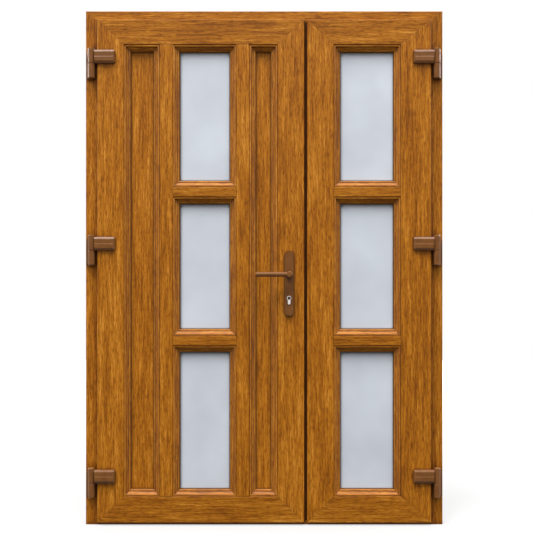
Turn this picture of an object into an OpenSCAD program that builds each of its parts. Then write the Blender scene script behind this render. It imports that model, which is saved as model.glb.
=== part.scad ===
// French doors in their frame: a wide main leaf on the left and a narrow second leaf on the right.
// Millimetres. X to the right and Y away from the viewer, who stands on the side the leaves open to.
// Z up from the floor. The origin is the middle of the frame's foot, half way through its depth.

/* [Overall] */
// width over the jambs
overall_w = 1400; // [1200:1800]
// height from the floor to the top of the head
overall_h = 2014; // [1900:2300]
// depth of the frame profile
frame_depth = 70; // [60:90]
// width of the main leaf, over its face
main_leaf_w = 808; // [700:1000]

/* [Frame profile] */
// face of the jambs left in view beside the leaves
jamb_reveal = 48; // [40:60]
// face of the head left in view above the leaves
head_reveal = 38; // [30:60]
// how far the leaf's flange laps over the frame
flange_lap = 8; // [6:10]
// how far the stop stands out behind the leaf
stop_w = 20; // [14:24]
// thickness of the stop
stop_t = 16; // [12:20]
// height of the threshold
threshold_h = 20; // [15:25]
// radius of the profile's long edges
edge_r = 2.5; // [1:4]

/* [Leaf profile] */
// depth of the leaf profile
leaf_depth = 70; // [60:80]
// how far the leaf's face stands in front of the frame's face
leaf_proud = 20; // [15:25]
// gap between the floor and the leaf's face
leaf_floor_gap = 11; // [6:16]
// slot between the two leaves
meeting_gap = 12; // [10:14]
// air between the frame's web and the leaf's body
rebate_air = 12; // [10:14]
// gap that the seals close between the flange and the frame
seal_gap = 3; // [2:4]
// face width of the stiles
stile_face = 104; // [90:120]
// face width of the second leaf's hinge stile
second_hinge_face = 119; // [90:130]
// face width of the top rails
top_face = 98; // [80:120]
// face width of the bottom rails
bottom_face = 103; // [80:140]
// face width of the mullions
mullion_face = 51; // [40:80]
// face width of the transoms
transom_face = 39; // [30:60]
// middle height of the upper transoms
upper_transom_z = 1303; // [1150:1450]
// middle height of the lower transoms
lower_transom_z = 722; // [600:850]
// width of the left panel's field, between stile and mullion
left_field = 140; // [90:180]
// width of the right panel's field; the glass between the mullions takes what is left
right_field = 110; // [90:180]

/* [Glazing] */
// width of the glazing beads
bead_w = 24; // [20:28]
// depth of the bead's ledge behind the leaf's face
bead_in = 2.2; // [1:0.1:4]
// depth of the bead's nose behind the leaf's face
nose_v = 13; // [11:15]
// width of the bead's nose, beside the glass
nose_w = 5.6; // [5:0.1:7]
// radius of the bead's nose
nose_r = 4; // [3:0.1:5]
// width of the quirk between the bead's cove and its nose
quirk_w = 1.3; // [1:0.1:2]
// width of the seal left in view beside the glass
seal_line = 3; // [1:0.5:4]
// depth of the glass behind the leaf's face
glass_v = 25; // [20:28]
// thickness of the glass units and panels
glass_t = 24; // [20:28]
// gap that the glazing seals fill
glazing_seal = 3; // [2:4]
// air between the edge of a glass unit and the profile
glass_air = 5; // [3:6]
// hairline left open at the mitres of the beads
mitre_line = 0.2; // [0.1:0.1:0.4]

/* [Hinges] */
// distance of the hinge axis from the frame's outer edge
hinge_inset = 26; // [20:30]
// how far the hinge axis stands in front of the leaf's face
hinge_front = 2; // [0:6]
// radius of the barrels
barrel_r = 13; // [10:15]
// radius of the pins
pin_r = 5; // [4:6]
// split height of the lowest hinge
low_hinge_z = 167; // [120:260]
// split height of the middle hinge
mid_hinge_z = 1074; // [900:1200]
// distance of the highest hinge's split from the top of the head
high_hinge_drop = 211; // [150:300]
// length of the arm's barrel, above the split
upper_barrel = 60; // [50:70]
// length of the bracket's barrel, below the split
lower_barrel = 58; // [50:70]
// height of the arm
arm_h = 52; // [40:56]
// reach of the arm from the hinge axis
arm_len = 93; // [80:110]
// thickness of the arm on the leaf
arm_t = 14; // [10:16]
// how far the arm is cut back beside its barrel
neck_in = 9; // [5:10]
// bevel on both barrels at their split
split_bevel = 1.6; // [0.5:0.1:2]

/* [Handle and lock] */
// distance of the spindle from the main leaf's meeting edge
backset = 59; // [55:65]
// height of the spindle
lever_z = 980; // [900:1100]
// spindle to cylinder
lock_centres = 92; // [92]
// width of the backplates
plate_w = 38; // [34:40]
// length of the backplates
plate_len = 252; // [240:260]
// thickness of the backplates
plate_t = 10; // [8:12]
// radius of the lever
lever_r = 9.5; // [8:10]
// radius of the lever's hub
hub_r = 13; // [11:15]
// reach of the lever from its axis
lever_len = 131; // [110:140]
// distance of the lever's grip from the leaf's face
lever_out = 47; // [42:60]
// side of the square spindle
spindle_a = 8; // [8]
// travel of the deadbolt
bolt_throw = 32; // [20:36]
// reach of the latch past the faceplate
latch_out = 10; // [6:12]
// travel of the shoot bolts
shoot_travel = 22; // [18:25]
// radius of the shoot bolts
shoot_r = 5; // [4:6]
// radius of the holes for the wall fixings
fixing_r = 4; // [3:5]

/* [Hidden] */
$fn = 64;
eps = 0.01;
// clearance of a pin that turns in its bore
run_fit = 0.05;
// clearance between moving pieces
clear = 0.3;

// planes across the depth
frame_y = -frame_depth / 2;
rear_y = frame_depth / 2;
leaf_y = frame_y - leaf_proud;
leaf_rear = leaf_y + leaf_depth;
stop_y = rear_y - stop_t;
flange_t = leaf_proud - seal_gap;
flange_w = flange_lap + rebate_air;
glass_rear = glass_v + glass_t;
lip_v = glass_rear + glazing_seal;
bead_v = glass_v - glazing_seal;

// edges across the width
jamb_web = jamb_reveal + flange_lap;
head_web = head_reveal + flange_lap;
frame_l = -overall_w / 2;
frame_r = overall_w / 2;
main_l = frame_l + jamb_reveal;
main_r = main_l + main_leaf_w;
second_l = main_r + meeting_gap;
second_r = frame_r - jamb_reveal;
lp0 = main_l + stile_face;
lp1 = lp0 + left_field;
rp1 = main_r - stile_face;
rp0 = rp1 - right_field;
mg0 = lp1 + mullion_face;
mg1 = rp0 - mullion_face;
sg0 = second_l + stile_face;
sg1 = second_r - second_hinge_face;

// heights
leaf_b = leaf_floor_gap;
leaf_t = overall_h - head_reveal;
fz0 = leaf_b + bottom_face;
fz1 = leaf_t - top_face;
ut0 = upper_transom_z - transom_face / 2;
ut1 = upper_transom_z + transom_face / 2;
lt0 = lower_transom_z - transom_face / 2;
lt1 = lower_transom_z + transom_face / 2;

// hinges
left_axis = frame_l + hinge_inset;
right_axis = frame_r - hinge_inset;
axis_y = leaf_y - hinge_front;
hinge_zs = [low_hinge_z, mid_hinge_z, overall_h - high_hinge_drop];
plate_gap = 4;
bracket_t = frame_y - axis_y - barrel_r - plate_gap;

// lock
hx = main_r - backset;
cyl_z = lever_z - lock_centres;
body_edge = main_r - flange_w;
lock_y = leaf_y + 32;
case_t = 18;
case_w = 62;
case_below = 126;
case_above = 58;
case_z0 = lever_z - case_below;
case_z1 = lever_z + case_above;
face_t = 2.5;
face_w = 20;
face_reach = 620;
face_z0 = lever_z - face_reach;
face_z1 = lever_z + face_reach;
bolt_z = lever_z - 55;
bolt_h = 32;
bolt_t = 12;
bolt_len = 58;
latch_z = lever_z + 26;
latch_h = 22;
latch_t = 12;
latch_len = 38;
cyl_r = 8.5;
cyl_drop = 24.5;
stem_w = 10;
plug_r = 6.5;
cam_r = 14;
plate_z0 = cyl_z - 70;
plate_z1 = plate_z0 + plate_len;
screw_zs = [plate_z0 + 15, plate_z1 - 15];
leaf_mid = (leaf_y + leaf_rear) / 2;
grip_y = leaf_y - lever_out;
hub_y = leaf_y - plate_t - 0.4;
hub_round = 4;
plate_air = 1.4;

// meeting post
post_air = 6.5;
post_l = main_r + post_air;
post_r = second_l + flange_w;
post_z0 = leaf_b + flange_w;
post_z1 = leaf_t - flange_w;
keep_t = 2.5;
keep_z0 = bolt_z - 45;
keep_z1 = latch_z + 40;
shoot_x = post_l + 13;
shoot_y = frame_y + 34;
shoot_len = 260;
tab_z = 60;

oak = [0.67, 0.42, 0.15];
oak_dark = [0.60, 0.37, 0.12];
brown = [0.45, 0.30, 0.19];
steel = [0.72, 0.72, 0.74];
rubber = [0.08, 0.08, 0.08];
pane = [0.82, 0.85, 0.88];

// takes the corner off a flat section whose material lies to +x and +y
module round_off(r) {
  difference() {
    translate([-1, -1]) square([r + 1, r + 1]);
    translate([r, r]) circle(r);
  }
}

// section of a frame member: x from its outer edge, y from its face
module frame_section(web) {
  difference() {
    union() {
      square([web, frame_depth]);
      translate([0, frame_depth - stop_t]) square([web + stop_w, stop_t]);
    }
    round_off(edge_r);
    translate([web, 0]) mirror([1, 0]) round_off(edge_r);
    translate([web + stop_w, frame_depth]) rotate(180) round_off(edge_r);
    translate([web + stop_w, frame_depth - stop_t]) mirror([1, 0]) round_off(edge_r);
  }
}

// section of a stile or rail: x from the leaf's edge, y from its face
module leaf_section(face) {
  difference() {
    union() {
      square([face, leaf_depth]);
      translate([0, lip_v]) square([face + bead_w, leaf_depth - lip_v]);
    }
    translate([-1, flange_t]) square([flange_w + 1, leaf_depth]);
    round_off(edge_r);
    translate([0, flange_t]) mirror([0, 1]) round_off(edge_r);
    translate([face, 0]) mirror([1, 0]) round_off(edge_r);
    translate([flange_w, leaf_depth]) mirror([0, 1]) round_off(edge_r);
    translate([face + bead_w, leaf_depth]) rotate(180) round_off(edge_r);
  }
}

// front part of a mullion or transom: x from one edge of its face, y from its face
module bar_section(face) {
  difference() {
    square([face, lip_v]);
    round_off(edge_r);
    translate([face, 0]) mirror([1, 0]) round_off(edge_r);
  }
}

// section of a glazing bead: x from the profile into the field, y from the leaf's face
// a ledge, a cove, a quirk and a rounded nose beside the glass
module bead_section() {
  cove_x = bead_w - nose_w - quirk_w;
  cove_r = nose_v - bead_in - 1;
  difference() {
    polygon([[0, bead_in + 1.6], [1.6, bead_in], [bead_w, bead_in], [bead_w, bead_v], [0, bead_v]]);
    translate([cove_x, nose_v - cove_r]) circle(cove_r);
    translate([cove_x - cove_r + 1, 0]) square([bead_w, bead_in + 1]);
    translate([cove_x, 0]) square([bead_w, nose_v]);
    translate([cove_x, 0]) square([quirk_w, nose_v + quirk_w]);
    translate([bead_w, nose_v]) mirror([1, 0]) round_off(nose_r);
  }
}

// upright member from z0 to z1, its section starting at x and running to the right
module upright(x, y, z0, z1) {
  translate([x, y, z0]) linear_extrude(height = z1 - z0) children();
}

// upright member whose section runs to the left
module upright_left(x, y, z0, z1) {
  translate([x, y, z0]) mirror([1, 0, 0]) linear_extrude(height = z1 - z0) children();
}

// level member from x0 to x1, its section starting at z and running up
module level(x0, x1, y, z) {
  translate([x1, y, z]) rotate([0, -90, 0]) linear_extrude(height = x1 - x0) children();
}

// level member whose section runs down
module level_down(x0, x1, y, z) {
  translate([x0, y, z]) rotate([0, 90, 0]) linear_extrude(height = x1 - x0) children();
}

// plate with an outline in x and z, from y0 to y1
module slab(y0, y1) {
  translate([0, y1, 0]) rotate([90, 0, 0]) linear_extrude(height = y1 - y0) children();
}

// round bar along y
module round_y(x, z, r, y0, y1) {
  translate([x, y1, z]) rotate([90, 0, 0]) cylinder(r = r, h = y1 - y0);
}

// round bar along x
module round_x(y, z, r, x0, x1) {
  translate([x0, y, z]) rotate([0, 90, 0]) cylinder(r = r, h = x1 - x0);
}

module box(x0, x1, y0, y1, z0, z1) {
  translate([x0, y0, z0]) cube([x1 - x0, y1 - y0, z1 - z0]);
}

// mitred stile of a leaf: sx is +1 when the section runs to the right
module stile(edge, sx, face) {
  w = face + bead_w;
  b = bottom_face + bead_w;
  t = top_face + bead_w;
  intersection() {
    translate([edge, leaf_y, leaf_b]) scale_x(sx) linear_extrude(height = leaf_t - leaf_b) leaf_section(face);
    slab(leaf_y - 1, leaf_rear + 1)
      polygon([[edge, leaf_b], [edge + sx * face, leaf_b + bottom_face], [edge + sx * w, leaf_b + b],
        [edge + sx * w, leaf_t - t], [edge + sx * face, leaf_t - top_face], [edge, leaf_t]]);
  }
}

module scale_x(sx) {
  if (sx > 0) {
    children();
  } else {
    mirror([1, 0, 0]) children();
  }
}

// mitred top rail of a leaf from x0 to x1 between stiles of faces f0 and f1
module top_rail(x0, x1, f0, f1) {
  intersection() {
    level_down(x0, x1, leaf_y, leaf_t) leaf_section(top_face);
    slab(leaf_y - 1, leaf_rear + 1)
      polygon([[x0, leaf_t], [x0 + f0, leaf_t - top_face], [x0 + f0 + bead_w, leaf_t - top_face - bead_w],
        [x1 - f1 - bead_w, leaf_t - top_face - bead_w], [x1 - f1, leaf_t - top_face], [x1, leaf_t]]);
  }
}

// mitred bottom rail of a leaf
module bottom_rail(x0, x1, f0, f1) {
  intersection() {
    level(x0, x1, leaf_y, leaf_b) leaf_section(bottom_face);
    slab(leaf_y - 1, leaf_rear + 1)
      polygon([[x0, leaf_b], [x0 + f0, leaf_b + bottom_face],
        [x0 + f0 + bead_w, leaf_b + bottom_face + bead_w],
        [x1 - f1 - bead_w, leaf_b + bottom_face + bead_w], [x1 - f1, leaf_b + bottom_face], [x1, leaf_b]]);
  }
}

// mullion with a face from x0 to x1, and its rear lips
module mullion(x0, x1) {
  upright(x0, leaf_y, fz0, fz1) bar_section(x1 - x0);
  box(x0 - bead_w, x1 + bead_w, leaf_y + lip_v, leaf_rear, fz0 + bead_w, fz1 - bead_w);
}

// transom with a face from z0 to z1, across the field from x0 to x1
module transom(x0, x1, z0, z1) {
  level(x0, x1, leaf_y, z0) bar_section(z1 - z0);
  box(x0 + bead_w, x1 - bead_w, leaf_y + lip_v, leaf_rear, z0 - bead_w, z1 + bead_w);
}

// glass unit or panel in a field
module infill(x0, x1, z0, z1) {
  box(x0 + glass_air, x1 - glass_air, leaf_y + glass_v, leaf_y + glass_rear, z0 + glass_air, z1 - glass_air);
}

// four mitred beads round a field
module beads(x0, x1, z0, z1) {
  g = mitre_line / 2;
  intersection() {
    upright(x0, leaf_y, z0, z1) bead_section();
    slab(leaf_y - 1, leaf_y + glass_v)
      polygon([[x0, z0 + g], [x0 + bead_w, z0 + bead_w + g], [x0 + bead_w, z1 - bead_w - g], [x0, z1 - g]]);
  }
  intersection() {
    upright_left(x1, leaf_y, z0, z1) bead_section();
    slab(leaf_y - 1, leaf_y + glass_v)
      polygon([[x1, z0 + g], [x1, z1 - g], [x1 - bead_w, z1 - bead_w - g], [x1 - bead_w, z0 + bead_w + g]]);
  }
  intersection() {
    level(x0, x1, leaf_y, z0) bead_section();
    slab(leaf_y - 1, leaf_y + glass_v)
      polygon([[x0 + g, z0], [x1 - g, z0], [x1 - bead_w - g, z0 + bead_w], [x0 + bead_w + g, z0 + bead_w]]);
  }
  intersection() {
    level_down(x0, x1, leaf_y, z1) bead_section();
    slab(leaf_y - 1, leaf_y + glass_v)
      polygon([[x0 + g, z1], [x0 + bead_w + g, z1 - bead_w], [x1 - bead_w - g, z1 - bead_w], [x1 - g, z1]]);
  }
}

// seal round a field, between depths v0 and v1
module seal_ring(x0, x1, z0, z1, v0, v1) {
  o = bead_w - 6;
  i = bead_w + seal_line;
  difference() {
    box(x0 + o, x1 - o, leaf_y + v0, leaf_y + v1, z0 + o, z1 - o);
    box(x0 + i, x1 - i, leaf_y + v0 - 1, leaf_y + v1 + 1, z0 + i, z1 - i);
  }
}

module glazing_seals(x0, x1, z0, z1) {
  seal_ring(x0, x1, z0, z1, bead_v, glass_v);
  seal_ring(x0, x1, z0, z1, glass_rear, lip_v);
}

// seal strips behind a leaf's flange; sx is +1 for the leaf hung on the left
module leaf_seal(edge, inner, sx) {
  y0 = leaf_y + flange_t;
  y1 = frame_y - clear;
  a = edge + sx * 2;
  box(min(a, a + sx * 5), max(a, a + sx * 5), y0, y1, leaf_b + 8, leaf_t - 8);
  box(min(a + sx * 6, inner), max(a + sx * 6, inner), y0, y1, leaf_t - 7, leaf_t - 2);
  box(min(a + sx * 6, inner), max(a + sx * 6, inner), y0, y1, leaf_b + 2, leaf_b + 7);
}

// frame jamb: sx is +1 when the section runs to the right
module jamb(edge, sx) {
  difference() {
    intersection() {
      translate([edge, frame_y, 0]) scale_x(sx) linear_extrude(height = overall_h) frame_section(jamb_web);
      slab(frame_y - 1, rear_y + 1)
        polygon([[edge, 0], [edge + sx * (jamb_web + stop_w), 0],
          [edge + sx * (jamb_web + stop_w), overall_h - head_web - stop_w],
          [edge + sx * jamb_web, overall_h - head_web], [edge, overall_h]]);
    }
    for (z = fixing_zs) {
      round_x(0, z, fixing_r, min(edge, edge + sx * jamb_web) - 1, max(edge, edge + sx * jamb_web) + 1);
    }
  }
}

fixing_zs = [overall_h * 0.12, overall_h * 0.38, overall_h * 0.62, overall_h * 0.88];

module left_jamb() {
  color(oak) jamb(frame_l, 1);
}

module right_jamb() {
  color(oak) jamb(frame_r, -1);
}

module head() {
  a = jamb_web + stop_w;
  c = overall_h - head_web - stop_w;
  color(oak) difference() {
    intersection() {
      level_down(frame_l, frame_r, frame_y, overall_h) frame_section(head_web);
      slab(frame_y - 1, rear_y + 1)
        polygon([[frame_l, overall_h], [frame_l + jamb_web, overall_h - head_web], [frame_l + a, c],
          [frame_r - a, c], [frame_r - jamb_web, overall_h - head_web], [frame_r, overall_h]]);
    }
    translate([shoot_x, shoot_y, overall_h - head_web - 1]) cylinder(r = shoot_r + 0.6, h = shoot_travel);
  }
}

module threshold() {
  x0 = frame_l + jamb_web;
  x1 = frame_r - jamb_web;
  color(steel) difference() {
    box(x0, x1, frame_y, rear_y, 0, threshold_h);
    box(x0 - 1, x0 + stop_w, stop_y, rear_y + 1, -1, threshold_h + 1);
    box(x1 - stop_w, x1 + 1, stop_y, rear_y + 1, -1, threshold_h + 1);
    for (y = [frame_y + 10, frame_y + 18, frame_y + 50, frame_y + 58]) {
      box(x0 + 40, x1 - 40, y - 2, y + 2, threshold_h - 1.5, threshold_h + 1);
    }
    translate([0, frame_y, threshold_h]) rotate([45, 0, 0]) cube([x1 - x0 + 2, 4, 4], center = true);
    translate([shoot_x, shoot_y, 4]) cylinder(r = shoot_r + 0.6, h = threshold_h);
  }
}

// seal on the face of the stop, behind the leaves
module frame_seal() {
  y0 = leaf_rear + clear;
  a = jamb_web + stop_w;
  c = overall_h - head_web - stop_w;
  color(rubber) {
    box(frame_l + a - 7, frame_l + a - 3, y0, stop_y, threshold_h + 1, c);
    box(frame_r - a + 3, frame_r - a + 7, y0, stop_y, threshold_h + 1, c);
    box(frame_l + a, frame_r - a, y0, stop_y, c + 3, c + 7);
  }
}

// fixed half of a hinge: plate on the jamb, web and lower barrel
module bracket(z) {
  difference() {
    union() {
      slab(frame_y - bracket_t, frame_y)
        difference() {
          translate([frame_l + 1.5, z - lower_barrel + 2]) square([hinge_inset + 13, lower_barrel + 40]);
          translate([frame_l + 1.5, z + 42]) mirror([0, 1]) round_off(4);
          translate([frame_l + 1.5, z - lower_barrel + 2]) round_off(4);
          translate([frame_l + hinge_inset + 14.5, z + 42]) rotate(180) round_off(4);
          translate([frame_l + hinge_inset + 14.5, z - lower_barrel + 2]) mirror([1, 0]) round_off(4);
        }
      box(left_axis - 8, left_axis + 8, axis_y, frame_y - bracket_t / 2, z - lower_barrel + 6, z - 4);
      translate([left_axis, axis_y, z - lower_barrel + 3])
        cylinder(r = barrel_r, h = lower_barrel - 3 - split_bevel);
      translate([left_axis, axis_y, z - split_bevel])
        cylinder(r1 = barrel_r, r2 = barrel_r - split_bevel, h = split_bevel);
      translate([left_axis, axis_y, z - lower_barrel]) cylinder(r1 = barrel_r - 3, r2 = barrel_r, h = 3);
    }
    translate([left_axis, axis_y, z - lower_barrel + 10]) cylinder(r = pin_r + 0.02, h = lower_barrel);
  }
}

// moving half of a hinge: upper barrel and the arm on the leaf's face
module arm(z) {
  b = z + 0.5;
  y0 = leaf_y - arm_t;
  difference() {
    union() {
      translate([left_axis, axis_y, b]) cylinder(r1 = barrel_r - split_bevel, r2 = barrel_r, h = split_bevel);
      translate([left_axis, axis_y, b + split_bevel])
        cylinder(r = barrel_r, h = upper_barrel - 3.5 - split_bevel);
      translate([left_axis, axis_y, z + upper_barrel - 3]) cylinder(r1 = barrel_r, r2 = barrel_r - 3, h = 3);
      intersection() {
        translate([left_axis, 0, b]) rotate([90, 0, 90]) linear_extrude(height = arm_len)
          polygon([[leaf_y, 0], [y0 + 5, 0], [y0, 9], [y0, arm_h * 0.45], [y0 + 1.2, arm_h * 0.52],
            [y0 + 1.2, arm_h - 8], [y0 + 6, arm_h], [leaf_y, arm_h]]);
        slab(y0 - 1, leaf_y + 1)
          difference() {
            translate([left_axis, z]) square([arm_len, arm_h + 2]);
            translate([left_axis + arm_len, b]) mirror([1, 0]) round_off(9);
            translate([left_axis + arm_len, b + arm_h]) rotate(180) round_off(9);
          }
        translate([left_axis, 0, z]) linear_extrude(height = arm_h + 2)
          polygon([[0, y0 + neck_in], [barrel_r - 2, y0 + neck_in], [barrel_r - 2, y0 + 2], [barrel_r, y0],
            [arm_len - 7, y0], [arm_len - 1.5, y0 + 4], [arm_len, y0 + 8], [arm_len, leaf_y], [0, leaf_y]]);
      }
    }
    translate([left_axis, axis_y, z - 1]) cylinder(r = pin_r + run_fit, h = upper_barrel - 7);
  }
}

module left_brackets() {
  color(brown) for (z = hinge_zs) {
    bracket(z);
  }
}

module right_brackets() {
  color(brown) mirror([1, 0, 0]) for (z = hinge_zs) {
    bracket(z);
  }
}

module hinge_pins() {
  color(steel) for (x = [left_axis, right_axis], z = hinge_zs) {
    translate([x, axis_y, z - lower_barrel + 10]) cylinder(r = pin_r, h = lower_barrel + upper_barrel - 19);
  }
}

module main_hinge_arms() {
  color(brown) for (z = hinge_zs) {
    arm(z);
  }
}

module second_hinge_arms() {
  color(brown) mirror([1, 0, 0]) for (z = hinge_zs) {
    arm(z);
  }
}

module main_hinge_stile() {
  color(oak) stile(main_l, 1, stile_face);
}

// outline of the profile cylinder, grown by g
module cylinder_outline(g) {
  translate([hx, cyl_z]) circle(cyl_r + g);
  translate([hx - stem_w / 2 - g, cyl_z - cyl_drop + stem_w / 2]) square([stem_w + 2 * g, cyl_drop - stem_w / 2]);
  translate([hx, cyl_z - cyl_drop + stem_w / 2]) circle(stem_w / 2 + g);
}

module main_lock_stile() {
  color(oak) difference() {
    stile(main_r, -1, stile_face);
    box(body_edge - case_w - 0.5, body_edge + 1, lock_y - case_t / 2, lock_y + case_t / 2,
      case_z0 - 0.5, case_z1 + 0.5);
    round_y(hx, lever_z, spindle_a, leaf_y - 1, leaf_rear + 1);
    slab(leaf_y - 1, leaf_rear + 1) cylinder_outline(0.5);
    for (z = screw_zs) {
      round_y(hx, z, 3.2, leaf_y - 1, leaf_rear + 1);
    }
  }
}

module main_top_rail() {
  color(oak) top_rail(main_l, main_r, stile_face, stile_face);
}

module main_bottom_rail() {
  color(oak) bottom_rail(main_l, main_r, stile_face, stile_face);
}

module left_mullion() {
  color(oak) mullion(lp1, mg0);
}

module right_mullion() {
  color(oak) mullion(mg1, rp0);
}

module main_upper_transom() {
  color(oak) transom(mg0, mg1, ut0, ut1);
}

module main_lower_transom() {
  color(oak) transom(mg0, mg1, lt0, lt1);
}

module left_panel() {
  color(oak_dark) infill(lp0, lp1, fz0, fz1);
}

module right_panel() {
  color(oak_dark) infill(rp0, rp1, fz0, fz1);
}

module main_upper_glass() {
  color(pane) infill(mg0, mg1, ut1, fz1);
}

module main_middle_glass() {
  color(pane) infill(mg0, mg1, lt1, ut0);
}

module main_lower_glass() {
  color(pane) infill(mg0, mg1, fz0, lt0);
}

module left_panel_beads() {
  color(oak) beads(lp0, lp1, fz0, fz1);
}

module right_panel_beads() {
  color(oak) beads(rp0, rp1, fz0, fz1);
}

module main_upper_beads() {
  color(oak) beads(mg0, mg1, ut1, fz1);
}

module main_middle_beads() {
  color(oak) beads(mg0, mg1, lt1, ut0);
}

module main_lower_beads() {
  color(oak) beads(mg0, mg1, fz0, lt0);
}

module main_seals() {
  color(rubber) {
    glazing_seals(lp0, lp1, fz0, fz1);
    glazing_seals(rp0, rp1, fz0, fz1);
    glazing_seals(mg0, mg1, ut1, fz1);
    glazing_seals(mg0, mg1, lt1, ut0);
    glazing_seals(mg0, mg1, fz0, lt0);
    leaf_seal(main_l, main_r - 4, 1);
  }
}

// outline of the backplate, drawn in by i
module plate_outline(i) {
  a = plate_w / 2 - i;
  difference() {
    translate([hx - a, plate_z0 + i]) square([2 * a, plate_len - 2 * i]);
    translate([hx - a, plate_z0 + i]) round_off(15);
    translate([hx + a, plate_z0 + i]) mirror([1, 0]) round_off(15);
    translate([hx + a, plate_z1 - i]) rotate(180) round_off(10);
    translate([hx - a, plate_z1 - i]) mirror([0, 1]) round_off(18);
  }
}

// backplate on the viewer's side; it also serves the far side, turned over
module backplate() {
  difference() {
    union() {
      slab(leaf_y - plate_t + 2.5, leaf_y) plate_outline(0);
      slab(leaf_y - plate_t + 1, leaf_y - plate_t + 2.6) plate_outline(1);
      slab(leaf_y - plate_t, leaf_y - plate_t + 1.1) plate_outline(2.6);
    }
    round_y(hx, lever_z, lever_r + run_fit, leaf_y - plate_t - 1, leaf_y + 1);
    slab(leaf_y - plate_t - 1, leaf_y + 1) cylinder_outline(plate_air);
  }
}

// the same thing on the other face of the leaf
module far_side() {
  translate([0, 2 * leaf_mid, 0]) mirror([0, 1, 0]) children();
}

module front_backplate() {
  color(brown) difference() {
    backplate();
    for (z = screw_zs) {
      round_y(hx, z, 2.52, leaf_y - plate_t + 3, leaf_y + 1);
    }
  }
}

module rear_backplate() {
  color(brown) difference() {
    far_side() backplate();
    for (z = screw_zs) {
      round_y(hx, z, 2.6, leaf_rear - 1, leaf_rear + plate_t + 1);
      round_y(hx, z, 4.8, leaf_rear + plate_t - 3.5, leaf_rear + plate_t + 1);
    }
  }
}

module plate_screws() {
  color(brown) for (z = screw_zs) {
    difference() {
      union() {
        round_y(hx, z, 2.5, leaf_y - plate_t + 3.5, leaf_rear + plate_t - 2);
        round_y(hx, z, 4.6, leaf_rear + plate_t - 3.5, leaf_rear + plate_t - 0.5);
      }
      box(hx - 3.5, hx + 3.5, leaf_rear + plate_t - 1.7, leaf_rear + plate_t, z - 0.6, z + 0.6);
    }
  }
}

// lever on the viewer's side: neck, round hub and grip
module lever() {
  ny = leaf_y - 0.5;
  tip = hx - lever_len;
  difference() {
    union() {
      round_y(hx, lever_z, lever_r, hub_y - 1, ny);
      round_y(hx, lever_z, hub_r, grip_y - lever_r + hub_round, hub_y);
      translate([hx, grip_y - lever_r + hub_round, lever_z]) rotate([90, 0, 0])
        cylinder(r1 = hub_r, r2 = hub_r - hub_round, h = hub_round + 0.5);
      round_x(grip_y, lever_z, lever_r, tip + 2, hx);
      translate([tip, grip_y, lever_z]) rotate([0, 90, 0]) cylinder(r1 = lever_r - 2, r2 = lever_r, h = 2);
    }
    box(hx - spindle_a / 2, hx + spindle_a / 2, leaf_y - plate_t - 8, leaf_y + 1,
      lever_z - spindle_a / 2, lever_z + spindle_a / 2);
  }
}

module front_lever() {
  color(brown) lever();
}

module rear_lever() {
  color(brown) far_side() lever();
}

module spindle() {
  a = spindle_a / 2;
  color(steel) {
    box(hx - a, hx + a, leaf_y - plate_t - 7, leaf_rear + plate_t + 7, lever_z - a, lever_z + a);
    difference() {
      round_y(hx, lever_z, 10, lock_y - case_t / 2 + 0.5, lock_y + case_t / 2 - 0.5);
      box(hx - a, hx + a, lock_y - case_t, lock_y + case_t, lever_z - a, lever_z + a);
    }
  }
}

module lock_case() {
  c = clear;
  color(steel) difference() {
    box(body_edge - case_w, body_edge, lock_y - case_t / 2, lock_y + case_t / 2, case_z0, case_z1);
    round_y(hx, lever_z, 10 + run_fit, lock_y - case_t, lock_y + case_t);
    slab(lock_y - case_t, lock_y + case_t) cylinder_outline(0.4);
    round_y(hx, cyl_z, cam_r + 1, lock_y - 6, lock_y + 6);
    box(body_edge - case_w + 2, body_edge + 1, lock_y - bolt_t / 2 - c, lock_y + bolt_t / 2 + c,
      bolt_z - bolt_h / 2 - c, bolt_z + bolt_h / 2 + c);
    box(body_edge - latch_len - latch_out - 4, body_edge + 1, lock_y - latch_t / 2 - c, lock_y + latch_t / 2 + c,
      latch_z - latch_h / 2 - c, latch_z + latch_h / 2 + c);
  }
}

module faceplate() {
  c = clear;
  color(steel) difference() {
    box(body_edge, body_edge + face_t, lock_y - face_w / 2, lock_y + face_w / 2, face_z0, face_z1);
    box(body_edge - 1, body_edge + face_t + 1, lock_y - bolt_t / 2 - c, lock_y + bolt_t / 2 + c,
      bolt_z - bolt_h / 2 - c, bolt_z + bolt_h / 2 + c);
    box(body_edge - 1, body_edge + face_t + 1, lock_y - latch_t / 2 - c, lock_y + latch_t / 2 + c,
      latch_z - latch_h / 2 - c, latch_z + latch_h / 2 + c);
  }
}

module lock_cylinder() {
  y0 = leaf_y - plate_t - 3;
  y1 = leaf_rear + plate_t + 3;
  color(steel) difference() {
    slab(y0, y1) cylinder_outline(0);
    round_y(hx, cyl_z, plug_r + run_fit, y0 - 1, y1 + 1);
    box(hx - 20, hx + 20, lock_y - 5.5, lock_y + 5.5, cyl_z - cam_r - 1.5, cyl_z + 20);
  }
}

// plug of the cylinder with a keyway at both ends and its cam in the middle
module cylinder_plug() {
  y0 = leaf_y - plate_t - 3;
  y1 = leaf_rear + plate_t + 3;
  color(steel) difference() {
    union() {
      round_y(hx, cyl_z, plug_r, y0, y1);
      round_y(hx, cyl_z, cyl_r, lock_y - 5, lock_y + 5);
      box(hx - 4, hx + 4, lock_y - 5, lock_y + 5, cyl_z - cam_r + 1, cyl_z);
    }
    for (y = [y0, y1]) {
      box(hx - 1.2, hx + 1.2, y - 24, y + 24, cyl_z - 4.4, cyl_z + 4.2);
    }
  }
}

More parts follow.
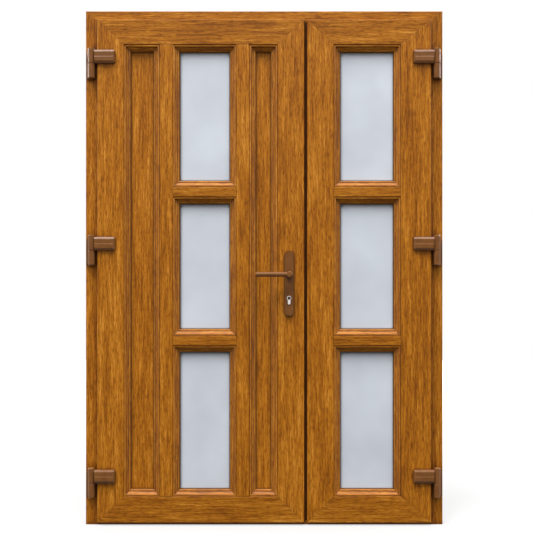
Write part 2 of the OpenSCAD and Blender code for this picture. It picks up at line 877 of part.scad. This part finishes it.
module latch() {
  x1 = body_edge + face_t + latch_out;
  x0 = x1 - latch_len - latch_out;
  color(steel) difference() {
    box(x0, x1, lock_y - latch_t / 2, lock_y + latch_t / 2, latch_z - latch_h / 2, latch_z + latch_h / 2);
    translate([x1, lock_y - latch_t / 2, latch_z - latch_h]) rotate([0, 0, 45])
      cube([40, 13.5, 2 * latch_h]);
  }
}

module deadbolt() {
  x1 = body_edge + face_t;
  color(steel) box(x1 - bolt_len, x1, lock_y - bolt_t / 2, lock_y + bolt_t / 2, bolt_z - bolt_h / 2,
    bolt_z + bolt_h / 2);
}

module second_meeting_stile() {
  color(oak) stile(second_l, 1, stile_face);
}

module second_hinge_stile() {
  color(oak) stile(second_r, -1, second_hinge_face);
}

module second_top_rail() {
  color(oak) top_rail(second_l, second_r, stile_face, second_hinge_face);
}

module second_bottom_rail() {
  color(oak) bottom_rail(second_l, second_r, stile_face, second_hinge_face);
}

module second_upper_transom() {
  color(oak) transom(sg0, sg1, ut0, ut1);
}

module second_lower_transom() {
  color(oak) transom(sg0, sg1, lt0, lt1);
}

module second_upper_glass() {
  color(pane) infill(sg0, sg1, ut1, fz1);
}

module second_middle_glass() {
  color(pane) infill(sg0, sg1, lt1, ut0);
}

module second_lower_glass() {
  color(pane) infill(sg0, sg1, fz0, lt0);
}

module second_upper_beads() {
  color(oak) beads(sg0, sg1, ut1, fz1);
}

module second_middle_beads() {
  color(oak) beads(sg0, sg1, lt1, ut0);
}

module second_lower_beads() {
  color(oak) beads(sg0, sg1, fz0, lt0);
}

module second_seals() {
  color(rubber) {
    glazing_seals(sg0, sg1, ut1, fz1);
    glazing_seals(sg0, sg1, lt1, ut0);
    glazing_seals(sg0, sg1, fz0, lt0);
    leaf_seal(second_r, second_l + 4, -1);
  }
}

// post on the edge of the second leaf, with the seats of the bolts and the shoot bolts
module meeting_post() {
  color(oak_dark) difference() {
    box(post_l, post_r, frame_y, leaf_rear, post_z0, post_z1);
    box(post_l - 1, post_l + 9.5, lock_y - bolt_t / 2 - 1, lock_y + bolt_t / 2 + 1,
      bolt_z - bolt_h / 2 - 1, bolt_z + bolt_h / 2 + 1);
    box(post_l - 1, post_l + 7, lock_y - latch_t / 2 - 1, lock_y + latch_t / 2 + 1,
      latch_z - latch_h / 2 - 1, latch_z + latch_h / 2 + 1);
    translate([shoot_x, shoot_y, post_z1 - shoot_len - 4]) cylinder(r = shoot_r + run_fit, h = shoot_len + 5);
    translate([shoot_x, shoot_y, post_z0 - 1]) cylinder(r = shoot_r + run_fit, h = shoot_len + 5);
    box(post_l - 1, shoot_x, shoot_y - 3.4, shoot_y + 3.4, post_z1 - shoot_len + tab_z - 1,
      post_z1 - shoot_len + tab_z + 17 + shoot_travel);
    box(post_l - 1, shoot_x, shoot_y - 3.4, shoot_y + 3.4, post_z0 + shoot_len - tab_z - 17 - shoot_travel,
      post_z0 + shoot_len - tab_z + 1);
  }
}

// soft fin that closes the slot between the leaves
module meeting_seal() {
  color(rubber) box(main_r + 1, second_l + 2, frame_y - 2.5, frame_y, threshold_h + 1, overall_h - head_web - 1);
}

module keep_plate() {
  color(steel) difference() {
    box(post_l - keep_t, post_l, lock_y - face_w / 2, lock_y + face_w / 2, keep_z0, keep_z1);
    box(post_l - keep_t - 1, post_l + 1, lock_y - bolt_t / 2 - 1, lock_y + bolt_t / 2 + 1,
      bolt_z - bolt_h / 2 - 1, bolt_z + bolt_h / 2 + 1);
    box(post_l - keep_t - 1, post_l + 1, lock_y - latch_t / 2 - 1, lock_y + latch_t / 2 + 1,
      latch_z - latch_h / 2 - 1, latch_z + latch_h / 2 + 1);
  }
}

module upper_shoot_bolt() {
  z1 = post_z1 - 1;
  color(steel) {
    translate([shoot_x, shoot_y, z1 - shoot_len + 1]) cylinder(r = shoot_r, h = shoot_len - 1);
    box(post_l + 0.5, shoot_x, shoot_y - 3, shoot_y + 3, post_z1 - shoot_len + tab_z,
      post_z1 - shoot_len + tab_z + 16);
  }
}

module lower_shoot_bolt() {
  z0 = post_z0 + 1;
  color(steel) {
    translate([shoot_x, shoot_y, z0]) cylinder(r = shoot_r, h = shoot_len - 1);
    box(post_l + 0.5, shoot_x, shoot_y - 3, shoot_y + 3, post_z0 + shoot_len - tab_z - 16,
      post_z0 + shoot_len - tab_z);
  }
}

left_jamb();
right_jamb();
head();
threshold();
frame_seal();
left_brackets();
right_brackets();
hinge_pins();
main_hinge_stile();
main_lock_stile();
main_top_rail();
main_bottom_rail();
left_mullion();
right_mullion();
main_upper_transom();
main_lower_transom();
left_panel();
right_panel();
main_upper_glass();
main_middle_glass();
main_lower_glass();
left_panel_beads();
right_panel_beads();
main_upper_beads();
main_middle_beads();
main_lower_beads();
main_seals();
main_hinge_arms();
front_backplate();
rear_backplate();
plate_screws();
lock_case();
faceplate();
lock_cylinder();
front_lever();
rear_lever();
spindle();
cylinder_plug();
latch();
deadbolt();
second_meeting_stile();
second_hinge_stile();
second_top_rail();
second_bottom_rail();
second_upper_transom();
second_lower_transom();
second_upper_glass();
second_middle_glass();
second_lower_glass();
second_upper_beads();
second_middle_beads();
second_lower_beads();
second_seals();
second_hinge_arms();
meeting_post();
meeting_seal();
keep_plate();
upper_shoot_bolt();
lower_shoot_bolt();
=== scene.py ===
"""French doors in golden oak foil: materials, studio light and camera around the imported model."""
import math

import bpy
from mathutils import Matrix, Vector


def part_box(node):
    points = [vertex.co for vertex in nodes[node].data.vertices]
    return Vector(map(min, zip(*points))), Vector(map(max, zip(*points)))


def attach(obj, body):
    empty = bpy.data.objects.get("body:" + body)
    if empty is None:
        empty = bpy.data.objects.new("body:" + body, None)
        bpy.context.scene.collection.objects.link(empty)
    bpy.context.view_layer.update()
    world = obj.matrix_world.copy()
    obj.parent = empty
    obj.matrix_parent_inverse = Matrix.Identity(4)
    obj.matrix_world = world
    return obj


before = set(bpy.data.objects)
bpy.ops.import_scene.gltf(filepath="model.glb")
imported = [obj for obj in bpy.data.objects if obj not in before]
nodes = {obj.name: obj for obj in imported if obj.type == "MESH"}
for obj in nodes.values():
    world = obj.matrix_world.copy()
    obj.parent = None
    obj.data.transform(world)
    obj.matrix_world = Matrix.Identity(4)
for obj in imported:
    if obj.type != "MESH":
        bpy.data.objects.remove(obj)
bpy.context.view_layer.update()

# Camera: the picture shows VIEW_WIDTH metres at the face of the frame. The sensor is in
# millimetres, the rest in metres.
VIEW_WIDTH = 2.092
SENSOR = 36.0
CAMERA_DISTANCE = 3.5
CAMERA_HEIGHT = 0.925
VIEW_CENTRE_X = 0.009
VIEW_CENTRE_Z = 1.012

WHITE = (1.0, 1.0, 1.0, 1.0)


def srgb(red, green, blue):
    """Linear colour, with alpha, of an sRGB colour given as 0 to 255."""
    def linear(c):
        c /= 255
        return c / 12.92 if c <= 0.04045 else ((c + 0.055) / 1.055) ** 2.4
    return linear(red), linear(green), linear(blue), 1.0


# Painted shade in grooves and inside corners: how far from a corner it reaches, in metres, its
# tint at the darkest, and how open a place is, from 0 to 1, where the tint is full and where it
# ends.
CREASE_SHADE_REACH = 0.010
CREASE_SHADE_DARK = srgb(150, 128, 90)
CREASE_SHADE_SHUT, CREASE_SHADE_CLEAR = 0.35, 0.95
CREASE_SHADE_SAMPLES = 8
# On the jambs the painted shade reaches farther, out from the leaves' edges.
JAMB_SHADE_REACH = 0.030

# On the glass: painted shade at the edges all round, and a deeper painted shadow below the
# upper beads and beside the left ones.
PANE_SHADE_REACH = 0.008
PANE_SHADE_DARK = srgb(122, 118, 116)
LEDGE_SHADOW_REACH = 0.018
LEDGE_SHADOW_DARK = srgb(44, 40, 36)
LEDGE_SHADOW_LEAN = (-0.35, 0.0, 1.0)
LEDGE_SHADOW_SHUT, LEDGE_SHADOW_CLEAR = 0.55, 0.88

# Rounding that shading gives to the foil's sharp edges, in metres.
EDGE_ROUND = 0.0035
EDGE_SAMPLES = 4

# Most of a noise's values lie in this range.
NOISE_RANGE = (0.3, 0.7)


class Shader:
    """A new node material, with short calls that add nodes and join them."""

    def __init__(self, name):
        self.material = bpy.data.materials.new(name)
        self.material.use_nodes = True
        self.tree = self.material.node_tree
        self.tree.nodes.clear()
        self.output = self.add("ShaderNodeOutputMaterial")

    def add(self, kind, inputs=None, **settings):
        """A node with settings, and inputs that are sockets to join or plain values."""
        node = self.tree.nodes.new(kind)
        for name, value in settings.items():
            setattr(node, name, value)
        for name, value in (inputs or {}).items():
            if isinstance(value, bpy.types.NodeSocket):
                self.tree.links.new(value, node.inputs[name])
            else:
                node.inputs[name].default_value = value
        return node

    def coordinates(self, stretch):
        """Coordinates in metres on the piece, times stretch along each axis."""
        where = self.add("ShaderNodeTexCoord").outputs["Object"]
        mapping = self.add("ShaderNodeMapping", {"Vector": where, "Scale": stretch})
        return mapping.outputs["Vector"]

    def noise(self, stretch, scale, detail=2.0, roughness=0.5, distortion=0.0):
        return self.add("ShaderNodeTexNoise", {
            "Vector": self.coordinates(stretch), "Scale": scale, "Detail": detail,
            "Roughness": roughness, "Distortion": distortion}).outputs["Fac"]

    def math(self, operation, a, b):
        return self.add("ShaderNodeMath", {0: a, 1: b}, operation=operation).outputs[0]

    def total(self, *parts):
        """Sum of parts of (value, share)."""
        total, *rest = [self.math("MULTIPLY", value, share) for value, share in parts]
        for part in rest:
            total = self.math("ADD", total, part)
        return total

    def spread(self, value, low, high, to_low=0.0, to_high=1.0):
        """value, taken from low..high to to_low..to_high and clamped there."""
        return self.add("ShaderNodeMapRange", {
            "Value": value, "From Min": low, "From Max": high,
            "To Min": to_low, "To Max": to_high}).outputs["Result"]

    def ramp(self, value, *stops):
        """Colour at value along stops of (place, colour)."""
        node = self.add("ShaderNodeValToRGB", {"Fac": value})
        places = node.color_ramp.elements
        while len(places) < len(stops):
            places.new(0.5)
        for element, (place, colour) in zip(places, stops):
            element.position = place
            element.color = colour
        return node.outputs["Color"]

    def two_tone(self, value, dark, light):
        """dark to light over a noise's range."""
        low, high = NOISE_RANGE
        return self.ramp(value, (low, dark), (high, light))

    def multiply(self, colour, factor, amount=1.0):
        return self.add(
            "ShaderNodeMix", {"Factor": amount, "A": colour, "B": factor},
            data_type="RGBA", blend_type="MULTIPLY").outputs["Result"]

    def painted_shade(self, reach=CREASE_SHADE_REACH, dark=CREASE_SHADE_DARK, lean=None,
                shut=CREASE_SHADE_SHUT, clear=CREASE_SHADE_CLEAR):
        """Painted shade that darkens grooves and inside corners, more on the side that lean points
        to.
        """
        node = self.add(
            "ShaderNodeAmbientOcclusion", {"Distance": reach}, samples=CREASE_SHADE_SAMPLES)
        if lean:
            facing = self.add("ShaderNodeNewGeometry").outputs["Normal"]
            raised = self.add("ShaderNodeVectorMath", {0: facing, 1: lean}, operation="ADD")
            aim = self.add("ShaderNodeVectorMath", {0: raised.outputs[0]}, operation="NORMALIZE")
            self.tree.links.new(aim.outputs[0], node.inputs["Normal"])
        return self.ramp(node.outputs["AO"], (shut, dark), (clear, WHITE))

    def bump(self, height, strength, distance, edge_round=0.0):
        """Normal with height's relief, distance metres deep, and softened edges."""
        node = self.add("ShaderNodeBump", {
            "Height": height, "Strength": strength, "Distance": distance})
        if edge_round:
            soft = self.add("ShaderNodeBevel", {"Radius": edge_round}, samples=EDGE_SAMPLES)
            self.tree.links.new(soft.outputs["Normal"], node.inputs["Normal"])
        return node.outputs["Normal"]

    def principled(self, **inputs):
        """The surface: an input's name has _ for each space."""
        named = {name.replace("_", " "): value for name, value in inputs.items()}
        node = self.add("ShaderNodeBsdfPrincipled", named)
        self.tree.links.new(node.outputs["BSDF"], self.output.inputs["Surface"])
        return self.material


UP, ACROSS = 2, 0
EVEN = (1, 1, 1)


def along(axis, share):
    """Stretch that draws a pattern out along one axis."""
    return tuple(share if i == axis else 1.0 for i in range(3))


# The foil: its colours in sRGB, from dark grain to light, and the parts of the noises' values that
# its grain, pores and flecks take up. The beads' moulded faces shine more than the flat foil.
FOIL_COLOURS = (
    (0.0, (118, 64, 8)), (0.36, (156, 93, 16)), (0.66, (180, 113, 26)), (1.0, (208, 141, 52)))
GRAIN_RANGE = (0.335, 0.585)
PORE_RANGE, PORE_TINT, PORE_SHARE = (0.30, 0.48), srgb(150, 128, 104), 0.5
FLECK_RANGE, FLECK_TINT, FLECK_SHARE = (0.34, 0.50), srgb(196, 176, 140), 0.7
FOIL_ROUGHNESS = (0.42, 0.54)
FOIL_GLOSS = 0.13
BEAD_GLOSS = 0.30


def oak_foil(name, axis, shade=1.0, gloss=FOIL_GLOSS, reach=CREASE_SHADE_REACH):
    """Printed and embossed oak foil with its grain along axis, with painted shade in its corners.
    """
    s = Shader(name)
    broad = s.noise(along(axis, 0.12), scale=9)
    streak = s.noise(along(axis, 0.07), scale=48, detail=3, roughness=0.6, distortion=0.3)
    line = s.noise(along(axis, 0.06), scale=175, detail=4, roughness=0.75)
    fleck = s.noise(along(axis, 0.16), scale=270, detail=1)
    pore = s.noise(along(axis, 0.06), scale=1100)
    grain = s.total((broad, 0.10), (streak, 0.26), (line, 0.56))
    colour = s.ramp(
        s.spread(grain, *GRAIN_RANGE),
        *((place, srgb(*(c * shade for c in rgb))) for place, rgb in FOIL_COLOURS))
    pores = s.ramp(s.spread(pore, *PORE_RANGE), (0.0, PORE_TINT), (1.0, WHITE))
    colour = s.multiply(colour, pores, PORE_SHARE)
    flecks = s.ramp(s.spread(fleck, *FLECK_RANGE), (0.0, FLECK_TINT), (1.0, WHITE))
    colour = s.multiply(colour, flecks, FLECK_SHARE)
    emboss = s.total((line, 0.6), (pore, 0.4))
    return s.principled(
        # Base colour with painted shade in grooves and inside corners.
        Base_Color=s.multiply(colour, s.painted_shade(reach)),
        Roughness=s.spread(streak, *NOISE_RANGE, *FOIL_ROUGHNESS),
        Specular_IOR_Level=gloss,
        Normal=s.bump(emboss, strength=0.25, distance=0.0006, edge_round=EDGE_ROUND))


def frosted_glass():
    s = Shader("frosted_glass")
    cloud = s.noise(EVEN, scale=5)
    grit = s.noise(EVEN, scale=1800)
    colour = s.two_tone(cloud, srgb(187, 192, 201), srgb(200, 206, 214))
    # Painted shade at the pane's edges.
    colour = s.multiply(colour, s.painted_shade(PANE_SHADE_REACH, PANE_SHADE_DARK))
    # Painted shadow below the upper beads and beside the left ones.
    painted_ledge_shadow = s.painted_shade(LEDGE_SHADOW_REACH, LEDGE_SHADOW_DARK, LEDGE_SHADOW_LEAN, LEDGE_SHADOW_SHUT, LEDGE_SHADOW_CLEAR)
    return s.principled(
        Base_Color=s.multiply(colour, painted_ledge_shadow),
        Roughness=s.spread(grit, *NOISE_RANGE, to_low=0.30, to_high=0.42),
        Specular_IOR_Level=0.5,
        Normal=s.bump(grit, strength=0.06, distance=0.0002))


def coated_metal():
    """Brown powder coat of the hinges and the handle."""
    s = Shader("brown_coat")
    patch = s.noise(EVEN, scale=40, detail=3)
    peel = s.noise(EVEN, scale=900)
    colour = s.two_tone(patch, srgb(104, 62, 22), srgb(118, 74, 31))
    return s.principled(
        # Painted shade in the hardware's grooves and inside corners.
        Base_Color=s.multiply(colour, s.painted_shade()),
        Roughness=s.spread(peel, *NOISE_RANGE, to_low=0.29, to_high=0.36),
        Specular_IOR_Level=0.20,
        Normal=s.bump(peel, strength=0.10, distance=0.0002))


def brushed_metal(name, dark, light, axis, rough, metallic=1.0, gloss=0.5):
    """Metal with fine marks along axis."""
    s = Shader(name)
    marks = s.noise(along(axis, 0.03), scale=1500, detail=3)
    wear = s.noise(EVEN, scale=60, detail=3)
    tone = s.total((marks, 0.6), (wear, 0.4))
    return s.principled(
        Base_Color=s.two_tone(tone, dark, light), Metallic=metallic, Specular_IOR_Level=gloss,
        Roughness=s.spread(marks, *NOISE_RANGE, to_low=rough, to_high=rough + 0.12),
        Normal=s.bump(marks, strength=0.08, distance=0.0001))


def rubber(name, dark, light):
    """Dull rubber with a little dust."""
    s = Shader(name)
    skin = s.noise(EVEN, scale=700, detail=3)
    dust = s.noise(EVEN, scale=30, detail=3)
    return s.principled(
        Base_Color=s.ramp(dust, (0.3, dark), (0.75, light)),
        Roughness=s.spread(skin, *NOISE_RANGE, to_low=0.6, to_high=0.8),
        Specular_IOR_Level=0.10,
        Normal=s.bump(skin, strength=0.1, distance=0.0003))


oak_up = oak_foil("oak_foil_up", UP)
oak_jamb = oak_foil("oak_foil_jamb", UP, reach=JAMB_SHADE_REACH)
# Painted shade: the right jamb's foil is a darker copy of the jambs' foil.
oak_right_jamb_shaded = oak_foil("oak_foil_right_jamb_shaded", UP, shade=0.94, reach=JAMB_SHADE_REACH)
oak_across = oak_foil("oak_foil_across", ACROSS, shade=0.965)
oak_post = oak_foil("oak_foil_post", UP, gloss=0.0)
bead_up = oak_foil("oak_foil_bead_up", UP, gloss=BEAD_GLOSS)
bead_across = oak_foil("oak_foil_bead_across", ACROSS, gloss=BEAD_GLOSS)
glass = frosted_glass()
brown = coated_metal()
nickel = brushed_metal("nickel", srgb(196, 187, 182), srgb(222, 214, 209), UP, rough=0.26)
brass = brushed_metal("dark_brass", srgb(58, 46, 36), srgb(86, 70, 54), UP, rough=0.40)
steel = brushed_metal("zinc_steel", srgb(140, 142, 146), srgb(186, 188, 192), UP, rough=0.34)
bronze = brushed_metal(
    "bronze_anodised", srgb(140, 80, 22), srgb(164, 100, 36), ACROSS,
    rough=0.46, metallic=0.10, gloss=0.06)
seal = rubber("dark_seal", srgb(68, 36, 10), srgb(88, 50, 18))
gasket = rubber("brown_gasket", srgb(106, 68, 28), srgb(128, 86, 40))

# Material of the nodes whose names end so; the rest, in the lock and the hinges, is steel.
FINISHES = {
    "panel": oak_up, "stile": oak_up, "mullion": oak_up, "meeting_post": oak_post,
    "left_jamb": oak_jamb, "right_jamb": oak_right_jamb_shaded,
    "head": oak_across, "rail": oak_across, "transom": oak_across,
    "glass": glass, "seal": seal, "seals": gasket, "threshold": bronze,
    "brackets": brown, "arms": brown, "backplate": brown, "lever": brown, "plate_screws": brown,
    "lock_cylinder": nickel, "cylinder_plug": brass}


def dress(node, *materials):
    """Puts materials in place of a CAD node's own."""
    mesh = nodes[node].data
    mesh.materials.clear()
    for material in materials:
        mesh.materials.append(material)


def dress_beads(node):
    """Grain along each bead: the mitres part the upright beads from the level ones.

    The lower bead shines like the upright ones; the upper one is dull.
    """
    upright, lower, upper = range(3)
    dress(node, bead_up, bead_across, oak_across)
    low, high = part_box(node)
    for face in nodes[node].data.polygons:
        c = face.center
        from_side = min(c.x - low.x, high.x - c.x)
        from_foot, from_top = c.z - low.z, high.z - c.z
        if from_side < min(from_foot, from_top):
            face.material_index = upright
        else:
            face.material_index = lower if from_foot < from_top else upper


for name in nodes:
    if name.endswith("beads"):
        dress_beads(name)
    else:
        dress(name, next((FINISHES[end] for end in FINISHES if name.endswith(end)), steel))


# The soft wiper on the meeting seal: sections in millimetres from the seal's edge and rear face.
# The nose meets the main leaf's edge in front of the seal, as tall as the leaf. The ribs lie behind
# it, as tall as the seal. The core runs inside the seal and stands out of both its ends, up to the
# head and down to the threshold.
NOSE_SECTION = [
    (-0.92, -8.00), (-0.60, -8.70), (0.10, -9.00), (1.00, -8.40), (2.00, -6.60), (2.70, -4.60),
    (3.10, -3.05), (-0.10, -3.05), (-0.50, -4.00), (-0.85, -4.90), (-0.92, -5.30)]
RIB_SECTION = [
    (0.20, -3.20), (2.80, -3.20), (2.80, -1.80), (4.60, -1.80), (4.60, 0.10),
    (3.80, 0.10), (3.60, 0.55), (3.30, 0.75), (3.00, 0.55), (2.80, 0.10),
    (1.80, 0.10), (1.60, 0.55), (1.30, 0.75), (1.00, 0.55), (0.80, 0.10),
    (0.10, 0.08), (-0.12, -0.30), (-0.15, -2.00)]
CORE_SECTION = [
    (0.30, -1.90), (0.60, -2.20), (12.40, -2.20), (12.70, -1.90),
    (12.70, -0.60), (12.40, -0.30), (0.60, -0.30), (0.30, -0.60)]
MM_PER_M = 1000
LIP_SHORT = 0.001
CORE_PAST = 0.0009


def make_meeting_lip():
    """Wiper along the meeting seal, which closes the slot between the leaves to the light."""
    low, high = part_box("meeting_seal")
    bottom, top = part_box("second_meeting_stile")
    points, faces = [], []
    for section, foot, end in (
            (NOSE_SECTION, bottom.z + LIP_SHORT, top.z - LIP_SHORT),
            (RIB_SECTION, low.z + LIP_SHORT, high.z - LIP_SHORT),
            (CORE_SECTION, low.z - CORE_PAST, high.z + CORE_PAST)):
        first, count = len(points), len(section)
        for z in (foot, end):
            points += [(low.x + x / MM_PER_M, high.y + y / MM_PER_M, z) for x, y in section]
        ring = range(first, first + count)
        faces += [(i, j, j + count, i + count) for i, j in zip(ring, [*ring[1:], first])]
        faces += [tuple(reversed(ring)), tuple(i + count for i in ring)]
    mesh = bpy.data.meshes.new("meeting_lip")
    mesh.from_pydata(points, [], faces)
    mesh.materials.append(seal)
    lip = bpy.data.objects.new("meeting_lip", mesh)
    bpy.context.scene.collection.objects.link(lip)
    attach(lip, "second_leaf")


def seen_directly(tree):
    """1 for rays that show the background: camera, glossy and transmission rays."""
    path = tree.nodes.new("ShaderNodeLightPath")
    total = path.outputs["Is Camera Ray"]
    for kind in ("Is Glossy Ray", "Is Transmission Ray"):
        node = tree.nodes.new("ShaderNodeMath")
        node.operation = "MAXIMUM"
        tree.links.new(total, node.inputs[0])
        tree.links.new(path.outputs[kind], node.inputs[1])
        total = node.outputs[0]
    return total


AMBIENT = 0.11


def make_world():
    """White where it is seen, and a weak even light on everything."""
    world = bpy.data.worlds.new("studio")
    bpy.context.scene.world = world
    world.use_nodes = True
    tree = world.node_tree
    tree.nodes.clear()
    light = tree.nodes.new("ShaderNodeBackground")
    light.inputs["Color"].default_value = WHITE
    light.inputs["Strength"].default_value = AMBIENT
    white = tree.nodes.new("ShaderNodeBackground")
    white.inputs["Color"].default_value = WHITE
    mix = tree.nodes.new("ShaderNodeMixShader")
    output = tree.nodes.new("ShaderNodeOutputWorld")
    tree.links.new(seen_directly(tree), mix.inputs[0])
    tree.links.new(light.outputs[0], mix.inputs[1])
    tree.links.new(white.outputs[0], mix.inputs[2])
    tree.links.new(mix.outputs[0], output.inputs["Surface"])


FLOOR_HALF = 8.0
# The greys of the floor: dull for the light that it throws back, pale where its shadow is seen.
FLOOR_DULL = (0.06, 0.06, 0.06, 1.0)
FLOOR_PALE = (0.22, 0.22, 0.22, 1.0)
# The floor's own white: weak round the doors, so that their shadow shows, and strong far off. The
# range is in metres from the middle.
GLOW_RANGE = (1.5, 5.0)
GLOW = (0.52, 0.95)


def make_floor():
    """Pale floor: white where it is seen, with the doors' shadow, and grey to other light."""
    mesh = bpy.data.meshes.new("floor")
    h = FLOOR_HALF
    mesh.from_pydata([(-h, -h, 0), (h, -h, 0), (h, h, 0), (-h, h, 0)], [], [(0, 1, 2, 3)])
    floor = bpy.data.objects.new("floor", mesh)
    bpy.context.scene.collection.objects.link(floor)
    s = Shader("floor")
    dull = s.add("ShaderNodeBsdfDiffuse", {"Color": FLOOR_DULL})
    pale = s.add("ShaderNodeBsdfDiffuse", {"Color": FLOOR_PALE})
    where = s.add("ShaderNodeTexCoord").outputs["Object"]
    distance = s.add("ShaderNodeVectorMath", {0: where}, operation="LENGTH").outputs["Value"]
    strength = s.spread(distance, *GLOW_RANGE, *GLOW)
    glow = s.add("ShaderNodeEmission", {"Color": WHITE, "Strength": strength})
    shown = s.add("ShaderNodeAddShader", {0: pale.outputs[0], 1: glow.outputs[0]})
    mix = s.add("ShaderNodeMixShader", {
        0: seen_directly(s.tree), 1: dull.outputs[0], 2: shown.outputs[0]})
    s.tree.links.new(mix.outputs[0], s.output.inputs["Surface"])
    mesh.materials.append(s.material)


# Soft boxes: place and target, width and height in metres, power in watts.
MIDDLE = (0.0, 0.0, 1.0)
LAMPS = {
    "key_left": ((-6.8, -10.5, 25.0), MIDDLE, (10.0, 12.0), 7850),
    "key_right": ((6.8, -10.5, 25.0), MIDDLE, (10.0, 12.0), 4750),
    "front": ((0.0, -7.0, 5.0), MIDDLE, (5.0, 3.0), 115),
    "top": ((0.0, -1.6, 9.5), (0.0, -0.3, 0.0), (6.0, 0.8), 210),
    "strip_left": ((-4.3, -2.5, 1.2), MIDDLE, (0.3, 2.5), 20),
    "strip_right": ((4.3, -2.5, 1.2), MIDDLE, (0.3, 2.5), 20),
    "side_left": ((-9.0, 0.8, 4.5), MIDDLE, (3.0, 3.0), 420),
    "side_right": ((9.0, 0.8, 4.5), MIDDLE, (3.0, 3.0), 420),
    "back_left": ((-5.0, 8.0, 4.5), MIDDLE, (4.0, 3.0), 680),
    "back_right": ((5.0, 8.0, 4.5), MIDDLE, (4.0, 3.0), 680)}


def make_lights():
    for name, (place, target, size, power) in LAMPS.items():
        data = bpy.data.lights.new(name, "AREA")
        data.shape = "RECTANGLE"
        data.size, data.size_y = size
        data.energy = power
        lamp = bpy.data.objects.new(name, data)
        lamp.location = place
        aim = Vector(target) - Vector(place)
        lamp.rotation_euler = aim.to_track_quat("-Z", "Y").to_euler()
        bpy.context.scene.collection.objects.link(lamp)


def make_camera():
    """Level camera at the photograph's place; lens shift sets the doors in the picture."""
    data = bpy.data.cameras.new("camera")
    data.sensor_width = SENSOR
    data.lens = SENSOR * CAMERA_DISTANCE / VIEW_WIDTH
    data.shift_x = VIEW_CENTRE_X / VIEW_WIDTH
    data.shift_y = (VIEW_CENTRE_Z - CAMERA_HEIGHT) / VIEW_WIDTH
    camera = bpy.data.objects.new("camera", data)
    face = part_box("left_jamb")[0].y
    camera.location = (0.0, face - CAMERA_DISTANCE, CAMERA_HEIGHT)
    camera.rotation_euler = (math.radians(90), 0, 0)
    bpy.context.scene.collection.objects.link(camera)
    bpy.context.scene.camera = camera


make_meeting_lip()
make_world()
make_floor()
make_lights()
make_camera()
bpy.context.scene.view_settings.view_transform = "Standard"
